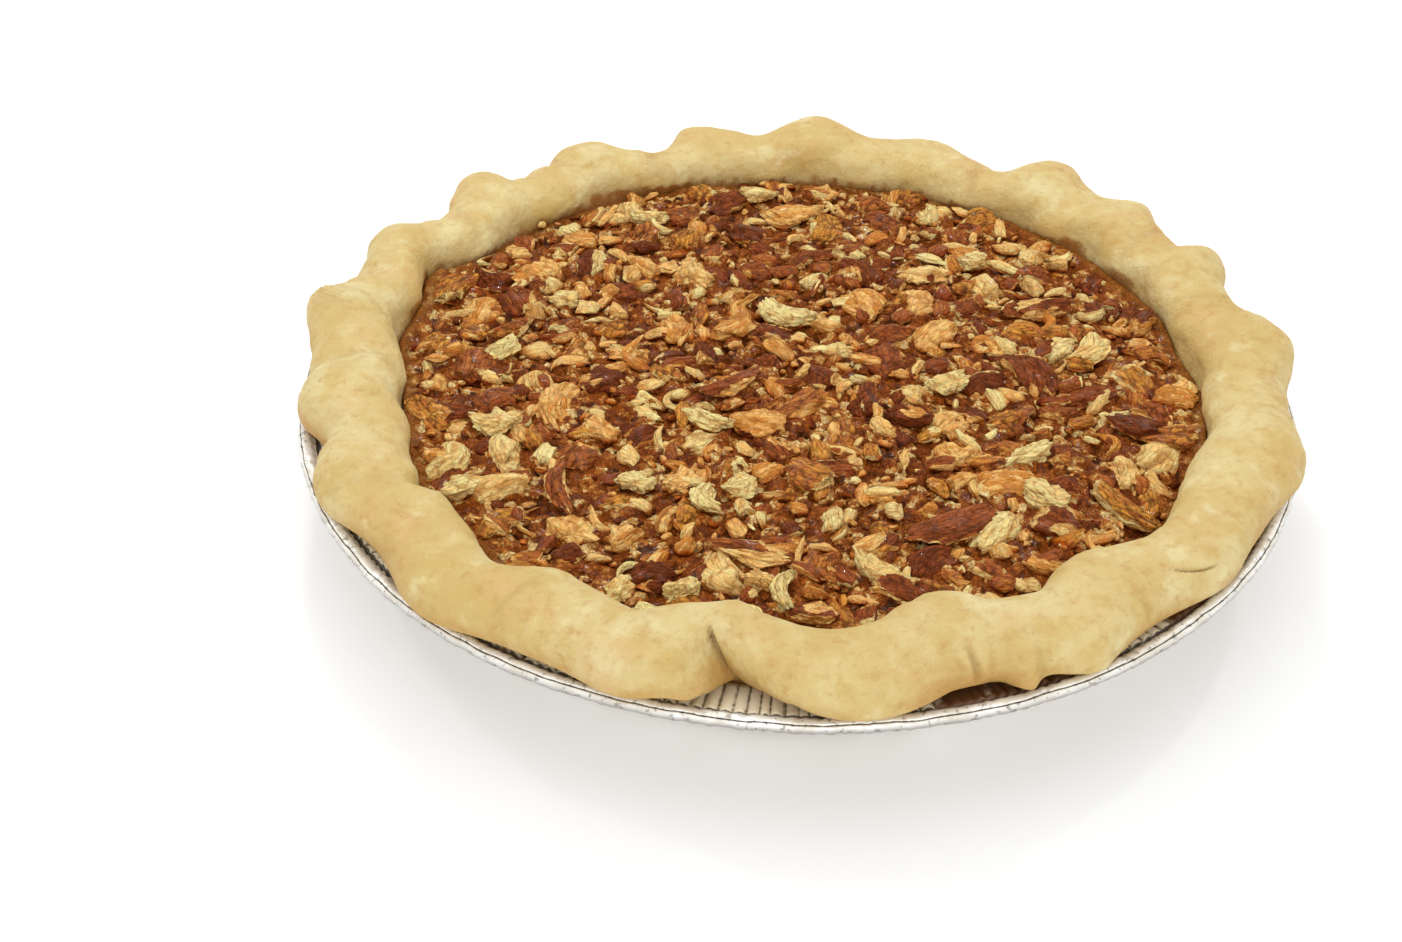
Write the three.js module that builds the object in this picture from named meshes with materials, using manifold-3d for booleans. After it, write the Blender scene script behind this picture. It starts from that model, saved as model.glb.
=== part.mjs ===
// A pecan pie in its foil tin: a pleated foil tin with a rolled rim, a pastry case with a
// hand-crimped edge, and a filling covered in chopped pecans.
// Millimetres, +Z up. The origin is the centre of the tin's underside, on the table.

import * as THREE from "three";
import { mergeVertices } from "three/addons/utils/BufferGeometryUtils.js";
import Module from "manifold-3d";

const wasm = await Module();
wasm.setup();

// ---- Driving dimensions ----

const tin = {
  rimRadius: 122, // outside of the rolled rim
  beadRadius: 1.75, // the rolled rim's section
  baseRadius: 91, // flat underside
  baseCorner: 2.5, // how high the base's rounded corner is
  cornerReach: 1.5, // and how far out it goes
  wallTopRadius: 106.5, // where the wall meets the flange
  height: 28.5, // the rolled rim's centre
  flangeRise: 2, // the flange climbs this much out to the rim
  foil: 0.6,
  pleats: 60,
  pleatDepth: 0.7, // each way, at the top of the wall
};

const crust = {
  gap: 0.35, // between crust, tin and filling
  baseThickness: 5,
  wallThickness: 5.5,
  wellRadius: 99.8, // inside wall at the filling's edge
  crestRise: 13.9, // the edge's crest above the tin's rim, at a bulge
  crestDip: 1.3, // how much lower the crest is at a pinch
  outerRadius: 122, // outside of the edge at a bulge
  pinchRadius: 118, // outside of the edge at a pinch
  steepInto: 0.45, // for each mm of a pinch's depth, how much more steeply the edge falls into it
  steepOut: 0.09, // and comes out of it
  bulgeInside: 1.2, // how far the inside of the edge stands back from the well at a bulge
  pinchInside: -1.2, // and at a pinch, where it leans in over the filling
  ridge: 0.46, // where the crest runs, from the inside (0) to the outside (1)
  widestOutside: 0.36, // how far up the outside is widest, from the foot (0) to the crest (1)
  widestInside: 0.24, // and the inside, from the filling's edge
  fullAcross: 0.85, // under 1, these make the edge's section fuller than an ellipse
  fullUp: 0.9,
  wallClearance: 0.75, // from the case to the inside of the tin's pleats
  cornerInside: 1.6, // the case's lower corner stands this far inside the tin's
  undercut: 1.8, // how far in from the edge's outside it leaves the rolled rim
  offCentre: 0.8, // the whole edge sits this much towards the back of the tin
};

// The edge, pinch by pinch: the pinch's angle in degrees and how much deeper than usual it is, then how
// much further out and how much higher than usual the bulge after it stands, and how late its top comes
// (1 in the middle, more for later).
const crimps = [
  [-5, -1.2, 2.2, 0.3, 1.15],
  [17, 0.5, 2.4, 0.3, 1.6],
  [31.5, -1, 2.6, 0.4, 1.35],
  [45.5, -2.4, 4, 1, 1.05],
  [60.8, 3.4, 0.4, -1.4, 1.35],
  [78.5, 0.6, 2, 1.5, 1],
  [94.5, 1.8, 1.2, -1, 1],
  [110.5, 5.6, 2.4, -0.4, 0.86],
  [129.5, 1, 3.4, 0.5, 0.62],
  [145.5, 1.2, 2.6, 0, 0.66],
  [162, -2, 4, 1, 0.58],
  [180, -1.5, -0.2, 0.4, 1],
  [194.8, 2.2, 0.8, -0.4, 1],
  [215, -0.4, 2.6, -0.8, 1],
  [240.5, -3, 2.8, -0.5, 1],
  [262.5, 11, 2.8, 0.5, 1],
  [289, 2.4, 1, 0.3, 1],
  [311, -0.8, -0.4, -0.4, 1],
  [332.5, -1.8, 1.8, -0.2, 1],
];
const stepsPerCrimp = 8;
// Steps round the edge's section, in degrees from straight out, over the crest, to straight in.
const roundTheEdge = [-12, 18, 46, 72, 97, 124, 152, 180];

// Where fingers also pushed the dough in over the filling (or away from it), out or back, up, and off the
// tin's rim.
const hardPinches = [
  { angle: 29.3, spread: 1.5, inner: 0, outer: -2, rise: -0.8, lift: 0 },
  { angle: 58, spread: 2, inner: 0, outer: -2.6, rise: -1, lift: 0 },
  { angle: 100, spread: 45, inner: 0, outer: -0.8, rise: -0.5, lift: 0 },
  { angle: 107.5, spread: 2, inner: 0, outer: -3.4, rise: -1.2, lift: 0 },
  { angle: 114.2, spread: 1.8, inner: 0, outer: -1.4, rise: -0.5, lift: 0 },
  { angle: 124.3, spread: 2, inner: 0, outer: -3, rise: -1, lift: 0 },
  { angle: 131.6, spread: 1.4, inner: 0, outer: -4, rise: -1.4, lift: 0 },
  { angle: 141, spread: 3, inner: 0, outer: -1.2, rise: -0.5, lift: 0 },
  { angle: 148.3, spread: 1.8, inner: 0, outer: -2.6, rise: -1, lift: 0 },
  { angle: 164.6, spread: 1.2, inner: 0, outer: -2.6, rise: -1, lift: 0 },
  { angle: 209.8, spread: 2.2, inner: -4, outer: 0, rise: 0, lift: 0 },
  { angle: 212, spread: 9, inner: 2.5, outer: 0, rise: 0, lift: 0 },
  { angle: 229.5, spread: 4.5, inner: -3.2, outer: 0, rise: 0, lift: 0 },
  { angle: 237, spread: 6, inner: 2.6, outer: 0, rise: 1.6, lift: 0 },
  { angle: 249.3, spread: 2, inner: -2, outer: 0, rise: 0, lift: 0 },
  { angle: 258.3, spread: 2, inner: 0, outer: 2.2, rise: 0, lift: 0 },
  { angle: 259.5, spread: 7, inner: 3, outer: 0, rise: 2.2, lift: 1.8 },
  { angle: 263.2, spread: 1.8, inner: -2, outer: 0, rise: 0, lift: 0 },
  { angle: 286.8, spread: 7, inner: 4.6, outer: 0, rise: 2, lift: 0.6 },
  { angle: 288.3, spread: 2.6, inner: 0, outer: 1.8, rise: 0, lift: 0 },
  { angle: 292.7, spread: 1.6, inner: 0, outer: 5, rise: 0, lift: 0 },
  { angle: 296.3, spread: 1.8, inner: 0, outer: -1.2, rise: 0, lift: 0 },
  { angle: 300.8, spread: 1.8, inner: 0, outer: 1.2, rise: 0, lift: 0 },
  { angle: 308, spread: 8, inner: 5, outer: 0, rise: 1.4, lift: 0 },
  { angle: 341.5, spread: 6, inner: 3.4, outer: 0, rise: 0, lift: 0 },
];

// Where the case was pressed wider (+) or narrower (-) than a circle, round the filling.
const wellShape = [
  { angle: 10.5, spread: 5.5, wider: -2.2 },
  { angle: 130, spread: 20, wider: 0.8 },
  { angle: 153.5, spread: 4.5, wider: 4.2 },
  { angle: 158, spread: 7, wider: 2 },
  { angle: 170, spread: 5, wider: 2.2 },
  { angle: 188, spread: 16, wider: -3.4 },
  { angle: 259, spread: 9, wider: -3 },
  { angle: 287, spread: 8, wider: -3 },
];

const filling = {
  edgeHeight: 31.5, // top of the filling where it meets the crust
  crown: 1.8, // how much the middle stands above the edge
  domeSides: 20,
  edgeDrop: 1.2, // its top edge is broken off by this much
  edgeGap: 1.75, // between the filling's edge and the crust
  clearance: 0.9, // between the pecans and the crust
};

// Chopped pecans: the share of all the pieces, half sizes, and the steps along each block.
const pecanCount = 158;
const pecanKinds = [
  { share: 0.09, length: 9.5, width: 4.6, height: 3.4, steps: 3 },
  { share: 0.46, length: 6.6, width: 4.5, height: 3.1, steps: 2 },
  { share: 0.45, length: 4.8, width: 3.8, height: 2.8, steps: 1 },
];
// How far from true each block's corners are broken off, as shares of its half size.
const chop = { taper: 0.3, length: [0.75, 1.05], across: [0.7, 1.15] };
// How the pieces lie: their size, how far they roll and pitch (degrees), how high their middles stand
// above the filling (of their half height), and how far out the last one is (of the well's radius).
const lay = { size: [0.85, 1.15], roll: 25, pitch: 8, stand: [0.05, 0.3], reach: 0.97, waver: 0.06 };
const goldenAngle = Math.PI * (3 - Math.sqrt(5));

// ---- Small helpers ----

const degrees = THREE.MathUtils.degToRad;
const mix = THREE.MathUtils.lerp;

// A repeatable number from 0 to 1 for draw k of item i.
function drawn(i, k) {
  const s = Math.sin(i * 12.9898 + k * 78.233 + 4.137) * 43758.5453;
  return s - Math.floor(s);
}

function fullTurn(angle) {
  return ((angle % 360) + 360) % 360;
}

// 1 at the angle, falling smoothly to 0 on both sides.
function bell(angle, centre, spread) {
  const away = fullTurn(angle - centre + 180) - 180;
  return Math.exp(-((away / spread) ** 2));
}

// A closed surface round the Z axis: profileAt(angle) gives the (radius, height) points of the section
// at that angle, from the axis underneath, round the outside, to the axis on top.
function turned(angles, profileAt) {
  const sections = angles.map(profileAt);
  const rows = sections[0].length;
  const geometry = new THREE.LatheGeometry(sections[0], angles.length);
  const position = geometry.getAttribute("position");
  for (let i = 0; i <= angles.length; i++) {
    const k = i % angles.length;
    const turn = degrees(angles[k]);
    for (let j = 0; j < rows; j++) {
      const { x: radius, y: height } = sections[k][j];
      position.setXYZ(i * rows + j, radius * Math.cos(turn), radius * Math.sin(turn), height);
    }
  }
  return geometry;
}

// The geometry as a manifold-3d solid, without the triangles that a pole or a seam collapses.
function solidOf(geometry) {
  const bare = geometry.index ? geometry.toNonIndexed() : geometry.clone();
  bare.deleteAttribute("normal");
  bare.deleteAttribute("uv");
  const merged = mergeVertices(bare, 1e-3);
  const corners = merged.index.array;
  const kept = [];
  for (let i = 0; i < corners.length; i += 3) {
    const [a, b, c] = corners.slice(i, i + 3);
    if (a !== b && b !== c && a !== c) kept.push(a, b, c);
  }
  return new wasm.Manifold(
    new wasm.Mesh({
      numProp: 3,
      vertProperties: merged.getAttribute("position").array,
      triVerts: new Uint32Array(kept),
    }),
  );
}

function geometryOf(solid) {
  const mesh = solid.getMesh();
  const geometry = new THREE.BufferGeometry();
  geometry.setAttribute("position", new THREE.BufferAttribute(mesh.vertProperties, mesh.numProp));
  geometry.setIndex(new THREE.BufferAttribute(mesh.triVerts, 1));
  return geometry;
}

function evenAngles(count) {
  return Array.from({ length: count }, (_, i) => (i * 360) / count);
}

function section(points) {
  return points.map(([radius, height]) => new THREE.Vector2(radius, height));
}

// ---- The foil tin ----

// Top of the flange at a radius, without its pleats.
function flangeTop(radius) {
  const { wallTopRadius, rimRadius, beadRadius, height, flangeRise } = tin;
  const share = (radius - wallTopRadius) / (rimRadius - 2 * beadRadius - wallTopRadius);
  return height - flangeRise * (1 - THREE.MathUtils.clamp(share, 0, 1));
}

// Inside of the tin's wall at a height, without its pleats.
function wallInside(height) {
  const share = (height - tin.baseCorner) / (flangeTop(tin.wallTopRadius) - tin.baseCorner);
  return mix(tin.baseRadius + tin.cornerReach, tin.wallTopRadius, share) - tin.foil;
}

function tinSection(angle) {
  const { rimRadius, beadRadius, baseRadius, baseCorner, cornerReach, wallTopRadius, height, foil } = tin;
  const pleat = tin.pleatDepth * Math.cos(degrees(angle * tin.pleats));
  const wave = pleat * 0.5; // the same pleat up and down, on the flange
  const beadIn = rimRadius - 2 * beadRadius;
  const wallTop = flangeTop(wallTopRadius);
  return section([
    [0, 0],
    [baseRadius, 0],
    [baseRadius + cornerReach, baseCorner],
    [wallTopRadius + pleat, wallTop - foil + wave],
    [beadIn, height - foil + wave],
    [beadIn + beadRadius * 0.8, height - beadRadius * 0.85],
    [rimRadius, height - beadRadius * 0.4],
    [rimRadius - beadRadius * 0.1, height + beadRadius * 0.35],
    [beadIn + beadRadius * 0.9, height + beadRadius * 0.8],
    [beadIn, height + wave],
    [wallTopRadius - foil + pleat, wallTop + foil * 0.4 + wave],
    [baseRadius, foil],
    [0, foil],
  ]);
}

function makeTin() {
  return turned(evenAngles(tin.pleats * 2), tinSection);
}

// ---- The crust ----

// The pinch that follows pinch i, a full turn on from the first where i is the last.
function nextPinch(i) {
  return i + 1 < crimps.length ? crimps[i + 1] : [crimps[0][0] + 360, crimps[0][1]];
}

// Where an angle lies between two pinches: 0 at a pinch, 1 at the middle of a bulge, with the depth of
// the pinches and the bulge's own reach and rise.
function crimpAt(angle) {
  const turn = fullTurn(angle - crimps[0][0]) + crimps[0][0];
  const i = crimps.findLastIndex(([at]) => at <= turn);
  const [from, depth, reach, rise, late] = crimps[i];
  const [to, nextDepth] = nextPinch(i);
  const along = ((turn - from) / (to - from)) ** late;
  const bulge = 0.5 - 0.5 * Math.cos(2 * Math.PI * along);
  const into = Math.max(2, 3 + crust.steepInto * nextDepth);
  const out = Math.max(2, 2 + crust.steepOut * depth);
  const pinch = along < 0.5 ? depth * (1 - bulge) ** out : nextDepth * (1 - bulge) ** into;
  return { bulge, pinch, reach: reach * bulge, rise: rise * bulge };
}

// Radii and crest height of the crimped edge at an angle, and how far it is lifted off the tin's rim.
function edgeAt(angle) {
  const { bulge, pinch, reach, rise } = crimpAt(angle);
  const shift = crust.offCentre * Math.sin(degrees(angle));
  const edge = {
    outer: mix(crust.pinchRadius, crust.outerRadius, bulge) + reach - pinch + shift,
    inner: wellAt(angle) + mix(crust.pinchInside, crust.bulgeInside, bulge),
    crest: tin.height + crust.crestRise - crust.crestDip * (1 - bulge) + rise,
    lift: 0,
  };
  for (const hard of hardPinches) {
    const near = bell(angle, hard.angle, hard.spread);
    edge.inner -= hard.inner * near;
    edge.outer += hard.outer * near;
    edge.crest += hard.rise * near;
    edge.lift += hard.lift * near;
  }
  return edge;
}

// Inside of the pastry case at the filling's edge.
function wellAt(angle) {
  const pressed = wellShape.map(({ angle: at, spread, wider }) => wider * bell(angle, at, spread));
  return pressed.reduce((radius, wider) => radius + wider, crust.wellRadius);
}

// Lowest that pastry may lie at a radius: on the flange, or over the rolled rim.
function restAt(radius) {
  const beadIn = tin.rimRadius - 2 * tin.beadRadius;
  const onFlange = flangeTop(radius) + tin.pleatDepth * 0.5 + tin.foil * 0.5;
  const onBead = tin.height + tin.beadRadius * 0.8;
  return (radius > beadIn - 1.2 ? onBead : onFlange) + crust.gap + 0.1;
}

function crustSection(angle) {
  const { outer, inner, crest, lift } = edgeAt(angle);
  const well = wellAt(angle);
  const clear = tin.pleatDepth + crust.wallClearance;
  const bottom = tin.foil + crust.gap;
  const wallTop = flangeTop(tin.wallTopRadius) - 1;
  const turnIn = Math.min(tin.wallTopRadius - 0.8, outer - 4);
  const beadTop = Math.min(tin.rimRadius - tin.beadRadius * 1.5, outer - crust.undercut);
  // Underneath: the base, the wall, and out over the flange to the rolled rim.
  const points = [
    [0, bottom],
    [tin.baseRadius - crust.cornerInside, bottom],
    [wallInside(wallTop) - clear, wallTop],
    [turnIn, restAt(turnIn)],
    [beadTop, restAt(beadTop + 1) + lift],
  ];
  // Round the edge: up the outside and over the crest, then down the inside to the filling.
  const foot = restAt(outer) + lift;
  const ridge = mix(inner, outer, crust.ridge);
  const outside = mix(foot, crest, crust.widestOutside);
  const inside = mix(filling.edgeHeight, crest, crust.widestInside);
  for (const turn of roundTheEdge.map(degrees)) {
    const across = Math.sign(Math.cos(turn)) * Math.abs(Math.cos(turn)) ** crust.fullAcross;
    const up = Math.sign(Math.sin(turn)) * Math.abs(Math.sin(turn)) ** crust.fullUp;
    const reach = across > 0 ? outer - ridge : ridge - inner;
    const middle = across > 0 ? outside : inside;
    points.push([ridge + reach * across, middle + (crest - middle) * up]);
  }
  // Down inside the case.
  points.push([well, filling.edgeHeight - filling.edgeDrop / 2]);
  points.push([tin.baseRadius - crust.wallThickness, bottom + crust.baseThickness]);
  points.push([0, bottom + crust.baseThickness]);
  return section(points);
}

// The angles of the crust's sections, the same number in every bulge: all, or every second one.
function crimpAngles(every) {
  return crimps.flatMap(([from], i) => {
    const steps = stepsPerCrimp / every;
    return Array.from({ length: steps }, (_, k) => mix(from, nextPinch(i)[0], k / steps));
  });
}

function makeCrust() {
  return turned(crimpAngles(1), crustSection);
}

// ---- The filling ----

function fillingTop(radius) {
  const share = Math.min(1, radius / crust.wellRadius);
  return filling.edgeHeight + filling.crown * (1 - share ** 2.6);
}

function fillingSection(angle) {
  const bottom = tin.foil + crust.baseThickness + 2 * crust.gap;
  const foot = tin.baseRadius - crust.wallThickness - crust.gap * 1.8;
  const edge = wellAt(angle) - filling.edgeGap;
  return section([
    [0, bottom],
    [foot, bottom],
    [edge, filling.edgeHeight - filling.edgeDrop],
    [edge - filling.edgeDrop, filling.edgeHeight],
    [0, filling.edgeHeight],
  ]);
}

// The filling's domed middle, on top of its flat edge.
function domeSection() {
  const rim = crust.wellRadius * 0.9;
  const bend = crust.wellRadius * 0.6;
  return section([
    [0, filling.edgeHeight - 2],
    [rim, filling.edgeHeight - 2],
    [rim, fillingTop(rim)],
    [bend, fillingTop(bend)],
    [0, fillingTop(0)],
  ]);
}

// A piece of chopped pecan, long in X: a block whose corners are roughly broken off true.
function pecanPiece(kind, i) {
  const block = new THREE.BoxGeometry(2 * kind.length, 2 * kind.width, 2 * kind.height, kind.steps);
  const mesh = solidOf(block).getMesh();
  const at = mesh.vertProperties;
  for (let v = 0; v < at.length; v += 3) {
    const taper = 1 - chop.taper * Math.abs(at[v] / kind.length);
    at[v] *= mix(...chop.length, drawn(i, v + 31));
    at[v + 1] *= taper * mix(...chop.across, drawn(i, v + 7));
    at[v + 2] *= taper * mix(...chop.across, drawn(i, v + 19));
  }
  return geometryOf(new wasm.Manifold(mesh));
}

// The kind of piece i: the shares of the kinds, in a mixed order.
function kindOf(i) {
  let pick = drawn(i, 9);
  return pecanKinds.find((kind) => (pick -= kind.share) < 0) ?? pecanKinds.at(-1);
}

// Piece i, laid on the filling at its place on a sunflower's even spiral and turned its own way.
function laidPiece(i) {
  const kind = kindOf(i);
  const size = mix(...lay.size, drawn(i, 3));
  const turn = i * goldenAngle + mix(-lay.waver, lay.waver, drawn(i, 1));
  const away = crust.wellRadius * lay.reach * Math.sqrt((i + 0.5) / pecanCount);
  const piece = pecanPiece(kind, i);
  piece.scale(size, size, size);
  piece.rotateX(degrees(mix(-lay.roll, lay.roll, drawn(i, 4))));
  piece.rotateY(degrees(mix(-lay.pitch, lay.pitch, drawn(i, 5))));
  piece.rotateZ(Math.PI * 2 * drawn(i, 6));
  piece.translate(
    away * Math.cos(turn),
    away * Math.sin(turn),
    fillingTop(away) + kind.height * size * mix(...lay.stand, drawn(i, 8)),
  );
  return clearOfCrust(piece, turn);
}

// The piece, moved towards the middle as far as its corners reach into the crust.
function clearOfCrust(piece, turn) {
  const at = piece.getAttribute("position");
  let over = 0;
  for (let v = 0; v < at.count; v++) {
    const angle = fullTurn(THREE.MathUtils.radToDeg(Math.atan2(at.getY(v), at.getX(v))));
    const room = Math.min(edgeAt(angle).inner, wellAt(angle)) - filling.clearance;
    over = Math.max(over, Math.hypot(at.getX(v), at.getY(v)) - room);
  }
  return piece.translate(-over * Math.cos(turn), -over * Math.sin(turn), 0);
}

function makeFilling() {
  const base = solidOf(turned(crimpAngles(2), fillingSection));
  let fused = base.add(solidOf(turned(evenAngles(filling.domeSides), domeSection)));
  for (let i = 0; i < pecanCount; i++) fused = fused.add(solidOf(laidPiece(i)));
  const bodies = fused.decompose().sort((a, b) => b.volume() - a.volume());
  return geometryOf(bodies[0]);
}

// ---- Materials and the group ----

const foil = new THREE.MeshStandardMaterial({ color: 0xc9c5bd, roughness: 0.35, metalness: 1 });
const pastry = new THREE.MeshStandardMaterial({ color: 0xdfc587, roughness: 0.75, metalness: 0 });
const pecans = new THREE.MeshStandardMaterial({ color: 0x9d693d, roughness: 0.4, metalness: 0 });

function node(name, geometry, material) {
  const mesh = new THREE.Mesh(geometry, material);
  mesh.name = name;
  return mesh;
}

const pie = new THREE.Group();
pie.add(node("foil_tin", makeTin(), foil));
pie.add(node("crust", makeCrust(), pastry));
pie.add(node("pecan_filling", makeFilling(), pecans));

export default pie;
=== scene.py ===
import math

import bpy
import numpy as np
from mathutils import Matrix, Vector


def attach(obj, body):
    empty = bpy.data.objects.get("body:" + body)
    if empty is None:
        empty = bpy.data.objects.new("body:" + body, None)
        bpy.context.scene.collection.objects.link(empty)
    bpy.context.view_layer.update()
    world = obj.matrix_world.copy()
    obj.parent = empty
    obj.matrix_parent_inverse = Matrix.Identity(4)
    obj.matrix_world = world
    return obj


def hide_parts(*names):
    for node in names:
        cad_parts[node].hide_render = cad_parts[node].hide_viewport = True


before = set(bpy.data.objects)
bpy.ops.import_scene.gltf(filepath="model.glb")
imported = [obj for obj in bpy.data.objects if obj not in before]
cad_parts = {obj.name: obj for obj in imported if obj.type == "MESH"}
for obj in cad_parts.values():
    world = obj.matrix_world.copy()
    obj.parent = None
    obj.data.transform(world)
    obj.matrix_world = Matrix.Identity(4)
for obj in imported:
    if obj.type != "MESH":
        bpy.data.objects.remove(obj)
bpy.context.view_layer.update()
print("frame: nodes", sorted(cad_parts))

# Pecan pie in its foil tin. Shapes are worked out in millimetres, with the centre of the tin's underside
# at 0, 0, 0, and go into the meshes in metres.
metre = 0.001
seed = 7


# low at share 0 and high at share 1
def mix(low, high, share):
    return low + (high - low) * share


# an even S from 0 to 1: share^2 (3 - 2 share)
def smooth(share):
    share = np.clip(share, 0, 1)
    return share * share * (3 - 2 * share)


# degrees from the centre to the angle, from -180 to 180
def awayFrom(angle, centre):
    return (angle - centre + 180) % 360 - 180


# 1 where off is 0, falling to 0 on both sides: exp(-(off / width)^2)
def hump(off, width):
    return np.exp(-(off / width) ** 2)


# the same round an angle
def bell(angle, centre, width):
    return hump(awayFrom(angle, centre), width)


# how far points are from the pie's middle, seen from above
def awayOf(points):
    return np.hypot(points[..., 0], points[..., 1])


def lengthOf(vectors):
    return np.linalg.norm(vectors, axis=-1, keepdims=True)


# repeatable draw k of item i: the fraction of a large sine
def drawn(i, k):
    wave = np.sin(i * 12.9898 + k * 78.233 + 4.137) * 43758.5453
    return wave - np.floor(wave)


# soft unevenness: the sum of sine waves that run in random directions, about size long, from -1 to 1
def ripple(points, size, key, waves=9):
    rng = np.random.default_rng(seed * 1000 + key)
    heading = rng.normal(size=(waves, 3))
    heading *= 2 * np.pi / size * rng.uniform(0.7, 1.5, (waves, 1)) / lengthOf(heading)
    phase = rng.uniform(0, 2 * np.pi, waves)
    return np.sin(points @ heading.T + phase).sum(-1) / (waves * 0.5) ** 0.5 / 2


# faces of a closed tube of rings with a point at each end: quads between rings, fans at the ends;
# the points are numbered start, ring after ring, end
def closedFaces(rings, around):
    ring = 1 + np.arange(rings * around).reshape(rings, around)
    ahead = np.roll(ring, -1, axis=1)
    quads = np.stack([ring[:-1], ahead[:-1], ahead[1:], ring[1:]], -1).reshape(-1, 4)
    start = np.stack([np.zeros(around, int), ahead[0], ring[0]], -1)
    end = np.stack([ring[-1], ahead[-1], np.full(around, 1 + rings * around)], -1)
    return quads, np.concatenate([start, end])


# the signed volume of the mesh, by the sum of the tetrahedra from the origin to its faces
def volumeOf(points, quads, triangles):
    fans = np.concatenate([triangles, quads[:, [0, 1, 2]], quads[:, [0, 2, 3]]])
    a, b, c = (points[fans[:, k]] for k in range(3))
    return np.einsum("ij,ij->", a, np.cross(b, c)) / 6


def addObject(name, data):
    made = bpy.data.objects.new(name, data)
    bpy.context.scene.collection.objects.link(made)
    return made


# a mesh in metres from points in millimetres, with its faces outwards and a value for each point
def makePiece(name, points, quads, triangles, material, values, sharpOver=None):
    if volumeOf(points[: quads.max() + 2], quads, triangles) < 0:
        quads, triangles = quads[:, ::-1], triangles[:, ::-1]
    mesh = bpy.data.meshes.new(name)
    mesh.from_pydata((points * metre).tolist(), [], quads.tolist() + triangles.tolist())
    mesh.polygons.foreach_set("use_smooth", np.ones(len(mesh.polygons), bool))
    if sharpOver is not None:
        mesh.set_sharp_from_angle(angle=math.radians(sharpOver))
    for key, numbers in values.items():
        kind, field = ("FLOAT", "value") if numbers.ndim == 1 else ("FLOAT_VECTOR", "vector")
        layer = mesh.attributes.new(key, kind, "POINT")
        layer.data.foreach_set(field, numbers.astype(np.float32).ravel())
    mesh.materials.append(material)
    mesh.update()
    print(name, len(points), "points", len(quads) * 2 + len(triangles), "triangles")
    return addObject(name, mesh)


# a surface turned round Z: radius and height are arrays of profile steps by angles
def turnedRings(radius, height, angles):
    turn = np.radians(angles)
    height = np.broadcast_to(height, radius.shape)
    return np.stack([radius * np.cos(turn), radius * np.sin(turn), height], -1)


# a piece from a closed grid of rings, whose first and last are one point each on the axis, with a value at
# each point of the grid for what is painted on it
def makeSurface(name, rings, material, values):
    def closed(grid):
        return np.concatenate([grid[0, :1], grid[1:-1].reshape(-1, *grid.shape[2:]), grid[-1, :1]])

    points = closed(rings)
    points[[0, -1], :2] = 0
    values = {key: closed(np.broadcast_to(value, rings.shape[:2])) for key, value in values.items()}
    return makePiece(name, points, *closedFaces(len(rings) - 2, rings.shape[1]), material, values)


# points on a circle of radius 1
def onCircle(angles):
    return np.stack([np.cos(np.radians(angles)), np.sin(np.radians(angles)), angles * 0], -1)


# radius and height of profile steps on straight lines from corner to corner, at so many angles
def straight(corners, steps, count=1):
    lines = []
    for start, end, number in zip(corners, corners[1:], steps):
        share = np.linspace(0, 1, number, endpoint=False)[:, None]
        lines.append([mix(a * np.ones(count), b * np.ones(count), share) for a, b in zip(start, end)])
    return np.concatenate(lines, axis=1)


# outward normals of a grid of points: the cross product of its two directions
def gridNormals(rings):
    along = np.gradient(rings, axis=0)
    around = np.roll(rings, -1, axis=1) - np.roll(rings, 1, axis=1)
    normal = np.cross(around, along)
    return normal / np.maximum(lengthOf(normal), 1e-9)


making = {}   # the node tree that the functions below add to


def newMaterial(name):
    material = bpy.data.materials.new(name)
    material.use_nodes = True
    making["tree"] = material.node_tree
    return material, material.node_tree.nodes["Principled BSDF"]


# links what changes over the surface, and sets what doesn't on the node's own sockets
def setInputs(node, inputs):
    for key, value in inputs.items():
        if isinstance(value, bpy.types.NodeSocket):
            making["tree"].links.new(value, node.inputs[key])
        else:
            node.inputs[key].default_value = value


def addNode(kind, inputs, **settings):
    node = making["tree"].nodes.new("ShaderNode" + kind)
    for key, value in settings.items():
        setattr(node, key, value)
    setInputs(node, inputs)
    return node


def objectPlace():
    return addNode("TexCoord", {}).outputs["Object"]


# noise whose spots are about size millimetres wide
def noise(place, size, detail=3.0, roughness=0.55):
    return addNode("TexNoise", {"Vector": place, "Scale": 1 / (size * metre), "Detail": detail,
                                "Roughness": roughness}).outputs[0]


# the surface's own chips and cracks, about size millimetres wide: a draw for each chip, and how far the
# nearest crack is, in chips
def flakes(place, size):
    settings = {"Vector": place, "Scale": 1 / (size * metre), "Randomness": 1.0}
    chips = addNode("TexVoronoi", settings, feature="F1").outputs["Color"]
    cracks = addNode("TexVoronoi", settings, feature="DISTANCE_TO_EDGE").outputs["Distance"]
    return addNode("SeparateColor", {"Color": chips}).outputs[0], cracks


# places pushed about by noise, so that what is laid by them gets ragged borders
def ragged(place, size, push):
    settings = {"Vector": place, "Scale": 1 / (size * metre), "Detail": 3.0}
    cloud = addNode("TexNoise", settings).outputs["Color"]
    off = addNode("VectorMath", {0: cloud, 1: (0.5, 0.5, 0.5)}, operation="SUBTRACT").outputs[0]
    off = addNode("VectorMath", {0: off, "Scale": push * metre}, operation="SCALE").outputs[0]
    return addNode("VectorMath", {0: place, 1: off}, operation="ADD").outputs[0]


def painted(key):
    return addNode("Attribute", {}, attribute_name=key).outputs["Fac"]


# a colour as a screen shows it, 0 to 255, for the shader
def colourOf(colour):
    if not isinstance(colour, tuple):
        return colour
    share = np.array(colour) / 255
    return (*np.where(share > 0.04045, ((share + 0.055) / 1.055) ** 2.4, share / 12.92), 1)


def mixColour(factor, low, high, how="MIX"):
    inputs = {0: factor, 6: colourOf(low), 7: colourOf(high)}
    return addNode("Mix", inputs, data_type="RGBA", blend_type=how).outputs[2]


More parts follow.
